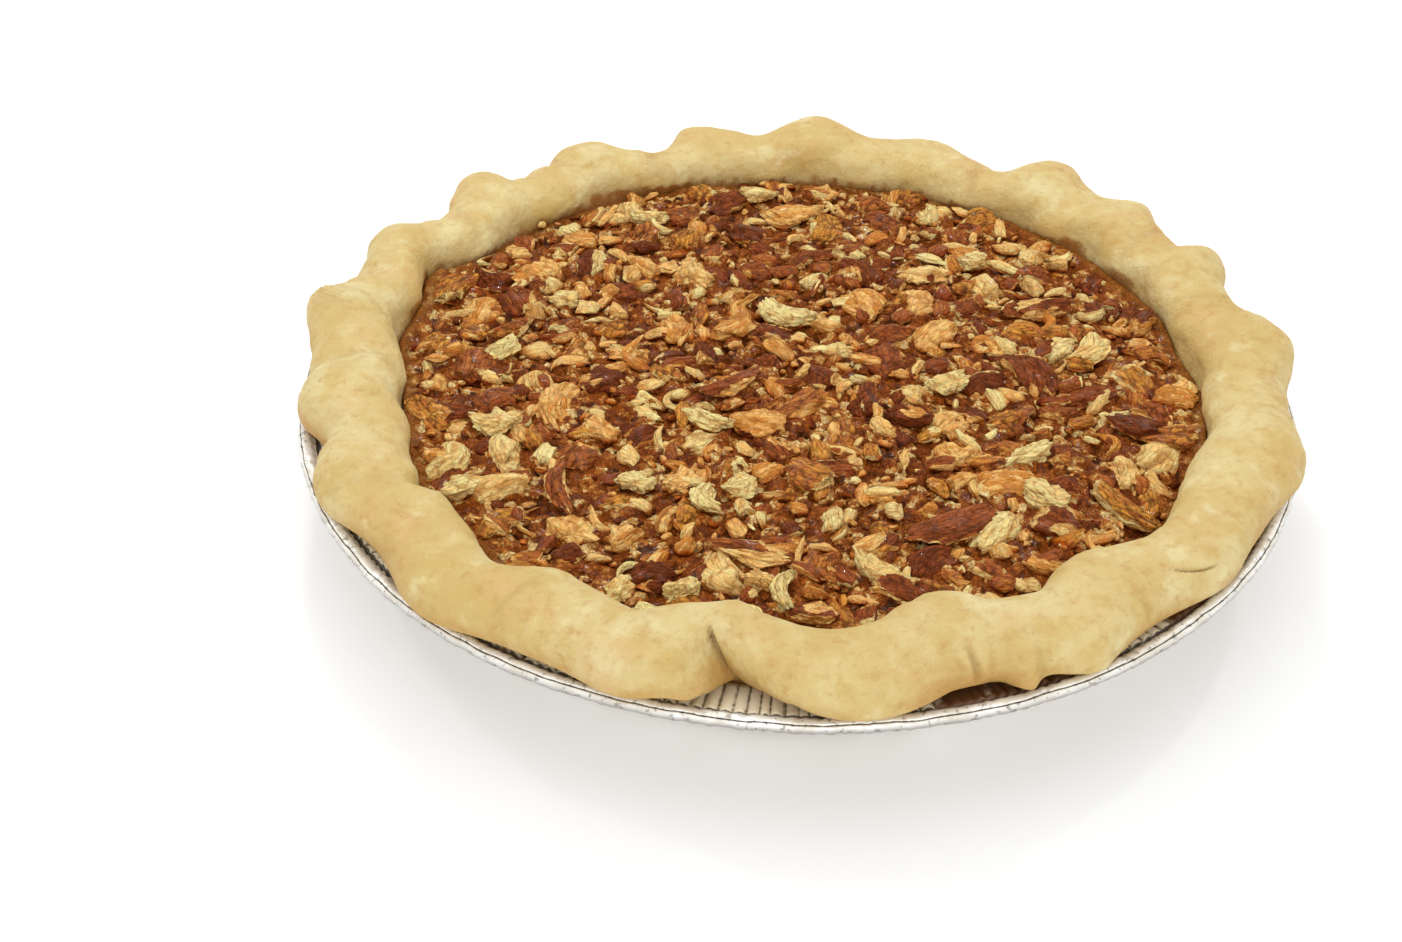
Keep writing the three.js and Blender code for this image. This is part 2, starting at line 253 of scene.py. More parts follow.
# colours laid over one another, each by its factor
def layered(colour, layers):
    for factor, above in layers:
        colour = mixColour(factor, colour, above)
    return colour


# value moved from the range low..high to 0..1 and held there
def ranged(value, low, high, to=(0.0, 1.0), kind="SMOOTHSTEP"):
    inputs = {"Value": value, "From Min": low, "From Max": high, "To Min": to[0], "To Max": to[1]}
    return addNode("MapRange", inputs, interpolation_type=kind).outputs[0]


def sums(operation, first, second):
    return addNode("Math", {0: first, 1: second}, operation=operation).outputs[0]


def times(first, second):
    return sums("MULTIPLY", first, second)


# value plus amount times (noise - 0.5), for one noise after another
def unevenly(value, *clouds):
    for cloud, amount in clouds:
        off = addNode("Math", {0: cloud, 1: amount, 2: -0.5 * amount}, operation="MULTIPLY_ADD")
        value = sums("ADD", value, off.outputs[0])
    return value


# what is painted, broken up by noise and moved from the range low..high to 0..1
def patchy(key, cloud, amount, low, high, to=(0.0, 1.0)):
    return ranged(unevenly(painted(key), (cloud, amount)), low, high, to)


# a clear glaze in patches a few millimetres wide, over a surface with little shine of its own
def setGlaze(place, shader):
    wet = ranged(noise(place, 3.5, 3, 0.6), 0.5, 0.72, (0.0, 0.5))
    setInputs(shader, {"Coat Weight": wet, "Coat Roughness": 0.05, "Specular IOR Level": 0.12,
                       "Specular Tint": colourOf((255, 196, 130))})


def ramp(value, stops):
    node = addNode("ValToRGB", {"Fac": value})
    elements = node.color_ramp.elements
    while len(elements) < len(stops):
        elements.new(0.5)
    for element, (at, colour) in zip(elements, stops):
        element.position = at
        element.color = colourOf(colour)
    return node.outputs["Color"]


def addBump(shader, height, distance, strength=1.0):
    bump = addNode("Bump", {"Height": height, "Distance": distance * metre, "Strength": strength})
    setInputs(shader, {"Normal": bump.outputs["Normal"]})


tin = dict(rimRadius=122, beadRadius=1.75, baseRadius=91, baseCorner=2.5, cornerReach=1.5,
           wallTopRadius=106.5, height=28.5, flangeRise=2, foil=0.45,
           pleats=264, stepsPerPleat=5, pleatDepth=0.62,  # fine radial pleats, pressed into wall and flange
           crinkle=0.35,                                  # how far the rolled rim is bent about by handling
           nick=0.1,                                      # how deep the small dents in it are
           hemAt=52, hemWide=7, hemDeep=0.3,              # the roll's hem: degrees up from its outer line
           gutterIn=1.3, gutterWide=0.6, gutterDeep=0.9,  # the gutter in the flange, beside the rolled rim
           solidFoil=0.6)                                 # the solid's thicker foil, which the pie clears


# the flange slopes straight up from the wall's top to the rolled rim
def flangeTop(radius):
    beadIn = tin["rimRadius"] - 2 * tin["beadRadius"]
    share = (radius - tin["wallTopRadius"]) / (beadIn - tin["wallTopRadius"])
    return tin["height"] - tin["flangeRise"] * (1 - np.clip(share, 0, 1))


# Baked-on juice on the flange: angle, spread, strength.
juicePatches = [(330, 9, 0.9), (317, 3, 0.9), (296, 4, 1.1), (287, 5, 0.7), (252, 3, 0.8), (236, 5, 0.5)]


# Profile steps: under the base, up the wall, out along the flange, round the rolled rim and back inside.
# The pleats are a triangle wave in angle, sideways on the wall and upwards on the flange, that fades into
# the base and the rim.
def makeTin(material):
    rim, bead, base, wallTop = tin["rimRadius"], tin["beadRadius"], tin["baseRadius"], tin["wallTopRadius"]
    foil, height = tin["foil"], tin["height"]
    cornerOut, cornerUp = base + tin["cornerReach"], tin["baseCorner"]
    beadIn = rim - 2 * bead
    flat, dip = base - 2, beadIn - 3   # where the base curves up, and where the flange nears the gutter
    count = tin["pleats"] * tin["stepsPerPleat"]
    angles = np.arange(count) * 360 / count
    # the steps round the roll crowd together at the hem
    turns = np.sort(np.append(np.linspace(-150, 158, 16), tin["hemAt"] + np.linspace(-12, 12, 8)))[:, None]
    roll = [beadIn + bead + bead * np.cos(np.radians(turns)),
            height - 0.1 + bead * 0.92 * np.sin(np.radians(turns))]
    outside = straight([(0, 0), (flat, 0), (cornerOut, cornerUp), (wallTop, flangeTop(wallTop) - foil),
                        (dip, flangeTop(dip) - foil), (beadIn - 0.2, height - foil)], [3, 3, 9, 4, 7])
    inside = straight([(beadIn - 0.2, height), (dip, flangeTop(dip)),
                       (wallTop - foil, flangeTop(wallTop) + foil * 0.4),
                       (cornerOut - foil, cornerUp + foil), (flat, foil), (0, foil)], [9, 5, 4, 2, 3])
    radius, level = np.concatenate([outside, roll, inside, [[[0]], [[foil]]]], axis=1)
    first = outside.shape[1]
    last = first + len(turns)
    rollTurn = np.full(radius.shape, 400.0)
    rollTurn[first:last] = turns
    onTop = (np.arange(len(radius)) >= last)[:, None]
    gutter = hump(radius - beadIn + tin["gutterIn"], tin["gutterWide"])
    level = level - tin["gutterDeep"] * gutter
    # how strongly each step is pleated, and how far the pleat has turned from sideways to upwards
    onWall = smooth((radius - base - 1) / 8) * smooth((beadIn + 1.2 - radius) / 2.5)
    upwards = smooth((radius - wallTop + 3) / 5)
    outwards = onCircle(angles)
    wander = ripple(outwards, 0.09, 1)
    wave = 2 * abs(np.sin(np.radians(angles) * tin["pleats"] / 2 + 1.2 * wander)) - 1
    depth = tin["pleatDepth"] * (0.75 + 0.35 * wander)
    pleat = onWall * depth * wave
    rings = turnedRings(radius + pleat * (1 - upwards), level + pleat * upwards * 1.15, angles)
    # the rolled rim, dented and crinkled a little
    onRim = smooth((radius - beadIn + 2) / 3)
    atRim = outwards * rim
    dents = ripple(atRim, 34, 2) * 0.6 + ripple(atRim, 7, 3) * 0.4
    nicks = tin["nick"] * (ripple(rings, 2.6, 4) + 0.6 * ripple(rings, 5, 9)) + 0.05 * wave
    rings = rings + (onRim * (tin["crinkle"] * dents - 0.25))[..., None] * outwards * 0.5
    rings[..., 2] += onRim * tin["crinkle"] * (0.7 * ripple(atRim, 55, 5) + 0.3 * ripple(atRim, 9, 6))
    hemAt = tin["hemAt"] + 5 * ripple(atRim, 14, 7) + 2 * ripple(atRim, 4, 8)
    hem = hump(rollTurn - hemAt, tin["hemWide"])
    rings = rings + (onRim * nicks - tin["hemDeep"] * hem)[..., None] * gridNormals(rings)
    # painted on: patches of baked-on juice on the flange, painted shade as dark lines along the hem and in
    # the gutter, painted shade with some grease in the pleats' valleys, painted shade on the roll's
    # underside, a yellow film on the flange's top, and the roll, where painted shade marks its small dents
    patches = sum(strength * bell(angles, at, spread) for at, spread, strength in juicePatches)
    juice = patches * smooth((beadIn + 0.8 - awayOf(rings)) / 1.6) * onTop
    return makeSurface("foilTin", rings, material, dict(
        juice=juice, line=np.maximum(hem, 1.6 * gutter * onTop), valley=onWall * (1 - wave) / 2,
        under=smooth((tin["hemAt"] - 6 - rollTurn) / 70), film=onTop * (1 - onRim), roll=onRim))


def foilMaterial():
    material, shader = newMaterial("brightFoil")
    place = objectPlace()
    # under, line and valley are colours of painted shade: the roll's underside, the hem, gutter and small
    # dents, and the pleats' valleys with some grease
    look = dict(bright=(252, 250, 244), dull=(228, 222, 208), under=(140, 136, 133), film=(255, 244, 214),
                line=(58, 46, 28), valley=(98, 84, 50), juice=(112, 74, 44))
    cloud = noise(place, 9, 4)
    specks = noise(place, 1.4, 3, 0.6)
    film = painted("film")
    # painted shade: dark specks in the roll's small dents
    dents = times(ranged(specks, 0.56, 0.68, (0.0, 0.55)), painted("roll"))
    juice = patchy("juice", noise(place, 4, 4), 0.9, 0.35, 0.6)
    metal = layered(look["bright"], [
        (ranged(cloud, 0.35, 0.7), look["dull"]),
        # painted shade, greyer on the roll's underside
        (times(painted("under"), 0.85), look["under"]),
        (film, look["film"]),
        # painted shade with some grease, darker in the pleats' valleys
        (patchy("valley", specks, 0.7, 0.5, 0.9, (0.0, 0.9)), look["valley"]),
        # painted shade: dark lines along the hem and in the gutter
        (patchy("line", specks, 1.0, 0.3, 0.8, (0.0, 0.95)), look["line"]),
        (dents, look["line"]),
        (juice, look["juice"])])
    shine = times(ranged(juice, 0, 1, (0.3, 0.0), "LINEAR"), ranged(film, 0, 1, (1.0, 0.0), "LINEAR"))
    setInputs(shader, {"Base Color": metal, "Metallic": shine,
                       "Roughness": ranged(cloud, 0.3, 0.75, (0.28, 0.46))})
    addBump(shader, noise(place, 1.6, 3, 0.6), 0.12, 0.5)
    return material


crust = dict(gap=0.35, baseThickness=5, wallThickness=5.5, wellRadius=99.8, crestRise=13.9, crestDip=1.3,
             outerRadius=122, pinchRadius=118, bulgeInside=1.2, pinchInside=-1.2, ridge=0.46,
             steepInto=0.45, steepOut=0.09,   # for each mm of a pinch's depth
             overFlange=0.65, overBead=0.8,   # how it rests on the tin: mm, and share of the bead's radius
             widestOutside=0.36, widestInside=0.24, fullAcross=0.85, fullUp=0.9, wallClearance=0.75,
             cornerInside=1.6, undercut=1.8, offCentre=0.8,
             stepsTurn=960, stepsRound=60,
             swell=0.55, lumps=0.34, grain=0.08)   # three sizes of unevenness in the dough

# Each pinch with the bulge that follows it; late is 1 where the bulge's top is in the middle.
crimps = np.array([
    # at, extra depth, the bulge's reach and rise, late
    [-5, -1.2, 2.2, 0.3, 1.15], [17, 0.5, 2.4, 0.3, 1.6], [31.5, -1, 2.6, 0.4, 1.35],
    [45.5, -2.4, 4, 1, 1.05], [60.8, 3.4, 0.4, -1.4, 1.35], [78.5, 0.6, 2, 1.5, 1], [94.5, 1.8, 1.2, -1, 1],
    [110.5, 5.6, 2.4, -0.4, 0.86], [129.5, 1, 3.4, 0.5, 0.62], [145.5, 1.2, 2.6, 0, 0.66],
    [162, -2, 4, 1, 0.58], [180, -1.5, -0.2, 0.4, 1], [194.8, 2.2, 0.8, -0.4, 1], [215, -0.4, 2.6, -0.8, 1],
    [240.5, -3, 2.8, -0.5, 1], [262.5, 11, 2.8, 0.5, 1], [289, 2.4, 1, 0.3, 1], [311, -0.8, -0.4, -0.4, 1],
    [332.5, -1.8, 1.8, -0.2, 1]])

# Where fingers also pushed the dough, in mm: its outside out, its inside out, its crest up, and off the
# tin's rim.
hardPinches = [
    # at, spread, outer, inner, rise, lift
    (29.3, 1.5, -2, 0, -0.8, 0), (58, 2, -2.6, 0, -1, 0), (100, 45, -0.8, 0, -0.5, 0),
    (107.5, 2, -3.4, 0, -1.2, 0), (114.2, 1.8, -1.4, 0, -0.5, 0), (124.3, 2, -3, 0, -1, 0),
    (131.6, 1.4, -4, 0, -1.4, 0), (141, 3, -1.2, 0, -0.5, 0), (148.3, 1.8, -2.6, 0, -1, 0),
    (164.6, 1.2, -2.6, 0, -1, 0), (209.8, 2.2, 0, 4, 0, 0), (212, 9, 0, -2.5, 0, 0),
    (229.5, 4.5, 0, 3.2, 0, 0), (237, 6, 0, -2.6, 1.6, 0), (249.3, 2, 0, 2, 0, 0), (258.3, 2, 2.2, 0, 0, 0),
    (259.5, 7, 0, -3, 2.2, 1.8), (263.2, 1.8, 0, 2, 0, 0), (286.8, 7, 0, -4.6, 2, 0.6),
    (288.3, 2.6, 1.8, 0, 0, 0), (292.7, 1.6, 5, 0, 0, 0), (296.3, 1.8, -1.2, 0, 0, 0),
    (300.8, 1.8, 1.2, 0, 0, 0), (308, 8, 0, -5, 1.4, 0), (341.5, 6, 0, -3.4, 0, 0)]
# Where the case is pressed wider or narrower round the filling: angle, spread, wider.
wellShape = [(10.5, 5.5, -2.2), (130, 20, 0.8), (153.5, 4.5, 4.2), (158, 7, 2), (170, 5, 2.2),
             (188, 16, -3.4), (259, 9, -3), (287, 8, -3)]


# between two pinches, 0.5 - 0.5 cos(2 pi along^late): 0 at a pinch and 1 on the bulge's top; a pinch's own
# depth fades as (1 - bulge)^power, steeper for a deep one
def crimpAt(angle):
    starts = crimps[:, 0]
    ends = np.append(starts[1:], starts[0] + 360)
    turn = (angle - starts[0]) % 360 + starts[0]
    i = np.searchsorted(starts, turn, side="right") - 1
    along = ((turn - starts[i]) / (ends[i] - starts[i])) ** crimps[i, 4]
    bulge = 0.5 - 0.5 * np.cos(2 * np.pi * along)
    depth, nextDepth = crimps[i, 1], np.roll(crimps[:, 1], -1)[i]
    pinch = np.where(along < 0.5, depth * (1 - bulge) ** np.maximum(2, 2 + crust["steepOut"] * depth),
                     nextDepth * (1 - bulge) ** np.maximum(2, 3 + crust["steepInto"] * nextDepth))
    return bulge, pinch, crimps[i, 2] * bulge, crimps[i, 3] * bulge


# the inside of the case at the filling's edge: a circle pressed wider or narrower in places
def wellAt(angle):
    return crust["wellRadius"] + sum(wider * bell(angle, at, spread) for at, spread, wider in wellShape)


# the edge's outside, inside, crest and lift off the tin: mix(pinch, bulge) by crimpAt, plus each hard pinch
def edgeAt(angle):
    bulge, pinch, reach, rise = crimpAt(angle)
    outer = (mix(crust["pinchRadius"], crust["outerRadius"], bulge) + reach - pinch
             + crust["offCentre"] * np.sin(np.radians(angle)))
    inner = wellAt(angle) + mix(crust["pinchInside"], crust["bulgeInside"], bulge)
    crest = tin["height"] + crust["crestRise"] - crust["crestDip"] * (1 - bulge) + rise
    made = [outer, inner, crest, 0 * outer]
    for at, spread, *pushes in hardPinches:
        near = bell(angle, at, spread)
        made = [value + push * near for value, push in zip(made, pushes)]
    return made


# the deepest pinch's corner: exp(-(away / spread)^2), with a spread of its own on each side
def notchAt(angle):
    away = angle - notch["at"]
    return hump(away, np.where(away < 0, notch["left"], notch["right"]))


# how far round the corner has moved at a turn round the section: lean (1 - exp(-(turn + 14) / 34))
def leanAt(turn):
    return notch["lean"] * (1 - np.exp(-np.clip(turn + 14, 0, 104) / 34))


# the crust's underside on the tin: from the flange's top onto the rolled rim, with a gap
def restAt(radius):
    beadIn = tin["rimRadius"] - 2 * tin["beadRadius"]
    onFlange = flangeTop(radius) + crust["overFlange"]
    onBead = tin["height"] + tin["beadRadius"] * crust["overBead"]
    return mix(onFlange, onBead, smooth((radius - beadIn + 2.2) / 2)) + crust["gap"] + 0.1


# Folds and creases in the dough: angle at the crest, lean (degrees from outside to inside), hook (1 for one
# that follows the deepest pinch's corner), first and last turn round the section; the rest in mm but fade.
folds = [
    # at, lean, hook, start, end, fade, depth, width, lip
    [262.5, 0, 1, -18, 82, 50, 1.1, 0.42, 0.2], [286.6, -1.4, 0, -14, 58, 30, 0.9, 0.8, 0.4],
    [236.7, 1.2, 0, 20, 110, 30, 0.3, 1, 0.2], [208.6, 2.6, 0, 10, 130, 30, 0.22, 1.3, 0.15],
    [181.3, -2.5, 0, 20, 140, 30, 0.25, 1.3, 0.2], [309.4, 1, 0, 0, 60, 30, 0.4, 1.1, 0.2],
    [168, 4.4, 0, 30, 170, 30, 0.35, 1.2, 0.25], [143, 3, 0, 50, 175, 30, 0.35, 1.4, 0.2],
    [17, 1, 0, 30, 150, 30, 0.3, 1.2, 0.2], [33, -2, 0, 40, 170, 30, 0.35, 1.4, 0.2],
    [61.5, -1, 0, 60, 170, 30, 0.4, 1.4, 0.2], [111, 1, 0, 60, 170, 30, 0.4, 1.4, 0.2]]
# Fine wrinkles beside a pinch.
wrinkles = [
    # at, lean, spread, start, end, depth
    [184, -5, 3.2, 10, 150, 0.2], [171, 5, 3.2, 20, 160, 0.22], [206, 3, 2.8, 20, 130, 0.16],
    [232, 2, 2.4, 0, 90, 0.14], [352, -3, 3, 30, 160, 0.16], [14, 3, 2.6, 30, 160, 0.14],
    [126, 3, 3, 40, 160, 0.16]]
# The short bowed crack along the edge: middle angle, half length in degrees, turn, how much it slopes and
# bows, depth, half width and the lip beside it.
crack = dict(at=317.4, half=3.1, turn=42, slope=-15, bow=8, depth=1.0, width=2.0, lip=0.25)
# The corner where the two sides of the deepest pinch meet and overlap: its angle at the foot, how far round
# it has moved at the crest, its spread to the left and right, how much its lip stands out, down, and over
# its foot, and how far both sides stand out beside it, which leaves a sharp corner between them, cut in.
notch = dict(at=262.5, lean=4.2, left=1.6, right=3.4, out=2.6, down=0.8, under=5.8,
             beside=3.0, besideWide=4.2, corner=1.3, cut=0.6)
# Where the filling has soaked higher up the inside: angle, spread, mm.
soakedPlaces = [(30.5, 3.5, 3.4), (108, 55, 2.6)]


# The section is a full rounded edge, across |cos|^fullAcross and up |sin|^fullUp between the outside, the
# crest and the inside, on top of the case's base and wall. The dough is then moved along its normals:
# swelling, lumps and grain, minus the folds, each a narrow valley exp(-(off / width)^2) with a lip.
def makeCrust(material):
    # the angles crowd together at the folds
    even = np.arange(0, 360, 0.02)
    weight = 1 + sum(5 * min(1, depth) * bell(even, at, 2.4) for at, *_, depth, _, _ in folds)
    crowd = np.cumsum(weight)
    angles = np.interp(np.arange(crust["stepsTurn"]) / crust["stepsTurn"] * crowd[-1], crowd, even)
    outer, inner, crest, lift = edgeAt(angles)
    corner = notchAt(angles)
    bottom, top = tin["solidFoil"] + crust["gap"], filling["edgeHeight"]
    wallTop = flangeTop(tin["wallTopRadius"]) - 1
    wallIn = tin["wallTopRadius"] - tin["solidFoil"] - 0.7 - crust["wallClearance"]
    beadTop = np.minimum(tin["rimRadius"] - tin["beadRadius"] * 1.5,
                         outer - crust["undercut"] - (notch["under"] - notch["out"]) * corner)
    turnIn = np.minimum(np.minimum(tin["wallTopRadius"] - 0.8, outer - 4), beadTop - 2)
    baseOut = tin["baseRadius"] - crust["cornerInside"]
    below = straight([(0, bottom), (baseOut, bottom), (wallIn, wallTop), (turnIn, restAt(turnIn)),
                      (beadTop, restAt(beadTop + 1) + lift)], [5, 5, 3, 5], len(angles))
    # the steps round the section crowd together at the crack
    even = np.arange(-14, 180.5, 0.5)
    crowd = np.cumsum(1 + 1.2 * hump(even - crack["turn"] - 5, 18))
    turn = np.interp(np.linspace(crowd[0], crowd[-1], crust["stepsRound"]), crowd, even)[:, None]
    across, up = (np.sign(wave) * np.abs(wave) ** crust[full] for wave, full in
                  ((np.cos(np.radians(turn)), "fullAcross"), (np.sin(np.radians(turn)), "fullUp")))
    ridge = mix(inner, outer, crust["ridge"])
    foot = mix(restAt(outer) + lift, crest, crust["widestOutside"]) - notch["down"] * corner
    middle = np.where(across > 0, foot, mix(top, crest, crust["widestInside"]))
    # the deepest pinch leans over: its place on the outside moves round as the section rises
    leaning = angles + leanAt(turn) * bell(angles, notch["at"] - notch["lean"] / 2, 12)
    beside = bell(leaning, notch["at"], notch["besideWide"])
    away = abs(leaning - notch["at"]) / notch["corner"]
    outside = (edgeAt(leaning)[0] + notch["out"] * notchAt(leaning)
               + notch["beside"] * beside * (1 - np.exp(-away)) - notch["cut"] * np.exp(-away))
    edge = [ridge + np.where(across > 0, outside - ridge, ridge - inner) * across,
            middle + (crest - middle) * up]
    floor, none = bottom + crust["baseThickness"], 0 * angles[None]
    above = straight([(wellAt(angles), top - 0.6), (tin["baseRadius"] - crust["wallThickness"], floor),
                      (0, floor)], [6, 5], len(angles))
    radius, height = np.concatenate([below, edge, above, [none, none + floor]], axis=1)
    rings = turnedRings(radius, height, angles)
    first = below.shape[1]
    turns = np.full((len(radius), 1), -90.0)
    turns[first:first + len(turn)] = turn
    turns[first + len(turn):] = 270

    move = (crust["swell"] * ripple(rings, 34, 11) + crust["lumps"] * ripple(rings, 10, 12)
            + crust["grain"] * ripple(rings, 2.6, 13, 14))
    # painted shade in the folds' valleys and the crack, which darkens the dough's colour
    shade = np.zeros_like(radius)
    for at, lean, hook, start, end, fade, depth, width, lip in folds:
        off = np.radians(awayFrom(angles, at + lean * (turns - 90) / 90 - hook * leanAt(turns))) * radius
        here = smooth((turns - start) / 14) * smooth((end - turns) / fade)
        valley = hump(off, width) * here
        move = move - depth * valley + lip * hump(off - width * 2.6, width * 2) * here
        shade = shade + valley * min(1, depth / 1.5)
    for at, lean, spread, start, end, depth in wrinkles:
        off = awayFrom(angles - lean * (turns - 90) / 90, at)
        here = smooth((turns - start) / 30) * smooth((end - turns) / 30)
        move = move + depth * np.cos(np.radians(off) * radius * 4.6) * hump(off, spread) * here
    off = awayFrom(angles, crack["at"])
    line = crack["turn"] + crack["slope"] * off / crack["half"] + crack["bow"] * (off / crack["half"]) ** 2
    along = smooth((crack["half"] - abs(off)) / 1.5)
    slit = hump(turns - line, crack["width"]) * along
    move = move - crack["depth"] * slit + crack["lip"] * hump(turns - line + 7, 5) * along
    shade = shade + 0.7 * slit
    onEdge = smooth((turns + 16) / 24) * smooth((196 - turns) / 20)
    rings = rings + (onEdge * move)[..., None] * gridNormals(rings)

    # painted on: filling that seeped into the inside up to a wandering line, browner dough low on the
    # outside and in the pinches, and painted shade in the folds and the crack
    seepLine = (top + 0.4 + np.maximum(0, ripple(rings, 30, 14)) * 1.5
                + 1.5 * bankAt(angles, 0 * angles, rise=True)
                + sum(rise * bell(angles, at, spread) for at, spread, rise in soakedPlaces)
                + 0.9 * ripple(rings, 6, 15) + 0.5 * ripple(rings, 2.5, 17))
    seep = smooth((seepLine - rings[..., 2]) / 3) * (turns > 100) * (0.55 + 0.45 * bell(angles, 110, 75))
    brown = (0.55 * smooth((26 - turns) / 36) + 0.25 * ripple(rings, 24, 16)
             + 0.3 * (1 - crimpAt(angles)[0]) * smooth((100 - turns) / 60))
    return makeSurface("pastryCrust", rings, material, dict(
        brown=np.clip(brown, 0, 1), seep=seep, crease=np.clip(shade, 0, 1)))


def pastryMaterial():
    material, shader = newMaterial("bakedPastry")
    place = objectPlace()
    look = dict(pale=(212, 193, 136), golden=(199, 169, 100), toasted=(184, 140, 72), flour=(219, 205, 152),
                rosy=(214, 174, 124), crease=(150, 110, 56), seep=(146, 88, 28))
    blotches = noise(place, 9, 4, 0.6)
    spots = noise(place, 3.0, 4, 0.6)
    wet = patchy("seep", noise(place, 1.8, 5, 0.7), 0.9, 0.1, 0.9)
    dough = layered(look["pale"], [
        (ranged(noise(place, 30, 3), 0.3, 0.7), look["golden"]),
        (ranged(noise(place, 15, 3), 0.5, 0.7, (0.0, 0.4)), look["rosy"]),
        (ranged(blotches, 0.46, 0.66, (0.0, 0.8)), look["golden"]),
        (ranged(blotches, 0.46, 0.3, (0.0, 0.7)), look["flour"]),
        (times(patchy("brown", spots, 0.6, 0.05, 1.0), 0.8), look["toasted"]),
        (ranged(spots, 0.48, 0.75, (0.0, 0.5)), look["toasted"]),
        (ranged(noise(place, 1.2, 2, 0.5), 0.66, 0.78, (0.0, 0.4)), look["toasted"]),
        # painted shade, darker in the folds and the crack
        (times(painted("crease"), 0.75), look["crease"]),
        (times(wet, 0.95), look["seep"])])
    setInputs(shader, {"Base Color": dough, "Roughness": ranged(wet, 0, 1, (0.62, 0.45), "LINEAR"),
                       "Specular IOR Level": 0.35, "Subsurface Weight": 0.12, "Subsurface Scale": 1.0,
                       "Subsurface Radius": (0.004, 0.0022, 0.001)})
    bumps = sums("ADD", noise(place, 1.0, 4, 0.7), times(spots, 1.6))
    addBump(shader, bumps, 0.5, 0.8)
    return material


filling = dict(edgeHeight=31.5, crown=1.8, clearance=0.9,
               inWell=0.25, footGaps=1.8,    # clear of the case: mm at its inside, gaps at its foot
               raised=0.5, climb=1.6,        # mm above the dome away from the crust, and up the nuts
               rough=0.35, chip=2.6, chipRise=0.9, chipTilt=0.9,   # small chips that lie in it
               stepsRound=600, stepsAcross=134)
# Where the filling climbs the crust in a bare rough bank: angle, its spread, mm wide and mm high.
banks = [(158, 12, 7, 2.4), (40, 20, 5.5, 1.5), (12, 8, 5, 1.0), (350, 9, 5, 1.0), (188, 14, 5, 1.1),
         (222, 10, 5, 1.1), (78, 12, 4.5, 0.9), (118, 14, 4.5, 0.9)]
bankSink = 1.6   # mm that the nuts lie deeper there


# a low dome: crown (1 - share^2.6) above the edge's height
def fillingTop(radius):
    share = np.minimum(1, radius / crust["wellRadius"])
    return filling["edgeHeight"] + filling["crown"] * (1 - share ** 2.6)


# Small chips sunk in the syrup. Each place belongs to the nearest of the points of a grid that are nudged
# about: gives how far that is, the chip's number and the way to its middle, in chips.
def chipsAt(x, y, size, key):
    cellX, cellY = np.floor(x / size), np.floor(y / size)
    best = np.full((4, *x.shape), 9.0)
    for stepX in (-1, 0, 1):
        for stepY in (-1, 0, 1):
            number = (cellX + stepX) * 57 + (cellY + stepY) * 131 + key * 17
            offX = x / size - cellX - stepX - drawn(number, 61)
            offY = y / size - cellY - stepY - drawn(number, 62)
            away = np.hypot(offX, offY)
            best = np.where(away < best[0], [away, number, offX, offY], best)
    return best


# The banks at a place: 1 in the middle of one, fading to 0, times how high it is where that is asked for.
def bankAt(angle, inwards, rise=False):
    return np.max([bell(angle, at, spread) * smooth((wide - inwards) / 5) * (high if rise else 1)
                   for at, spread, wide, high in banks], axis=0)


# The syrup: a low dome that climbs up each piece of nut by climb * exp(-(away / size)^2), and is covered
# with chips that each stand a little higher or lower and lean their own way, over the same case as the
# solid.
def makeCore(material, places, sizes):
    angles = np.arange(filling["stepsRound"]) * 360 / filling["stepsRound"]
    edge = wellAt(angles) - filling["inWell"]
    height = filling["edgeHeight"]
    bottom = tin["solidFoil"] + crust["baseThickness"] + 2 * crust["gap"]
    foot = tin["baseRadius"] - crust["wallThickness"] - crust["gap"] * filling["footGaps"]
    below = straight([(0, bottom), (foot, bottom), (edge, height), (edge, height)], [2, 2], len(angles))
    share = np.linspace(1, 0, filling["stepsAcross"])[:, None]
    inwards = edge * (1 - share)
    top = (fillingTop(share * edge) + filling["raised"] * smooth((inwards - 1.5) / 4)
           - 0.5 * smooth(1 - inwards / 0.8))
    skirt = [[edge - 0.6], [0 * edge + height - 2.5]]
    rings = turnedRings(*np.concatenate([below, skirt, [share * edge, top]], axis=1), angles)
    first = len(rings) - len(share)
    x, y = rings[first:, :, 0], rings[first:, :, 1]
    climb = np.zeros_like(x)
    for (pieceX, pieceY, _), size in zip(places, sizes):
        climb = np.maximum(climb, np.exp(-((x - pieceX) ** 2 + (y - pieceY) ** 2) / size ** 2))
    nearest, chip, leanX, leanY = chipsAt(x, y, filling["chip"], 1)
    chipUp = filling["chipRise"] * (drawn(chip, 63) - 0.4) - 0.5 * smooth((nearest - 0.35) / 0.4)
    lean = filling["chipTilt"] * ((drawn(chip, 64) - 0.5) * leanX + (drawn(chip, 65) - 0.5) * leanY) * 2
    rough = filling["rough"] * (ripple(rings[first:], 7, 21) + 0.6 * ripple(rings[first:], 2.4, 23))
    rings[first:, :, 2] += filling["climb"] * climb + (chipUp + lean) * smooth((inwards - 0.5) / 2) + rough
    rings[first:, :, 2] += bankAt(angles, inwards, rise=True) * smooth((inwards + 2) / 4)
    shown = dict(edge=np.maximum(smooth(1 - inwards / 6), bankAt(angles, inwards)), tone=drawn(chip, 66),
                 chip=smooth((0.62 - nearest) / 0.2))
    return makeSurface("syrupFilling", rings, material,
                       {key: np.pad(value, ((first, 0), (0, 0))) for key, value in shown.items()})


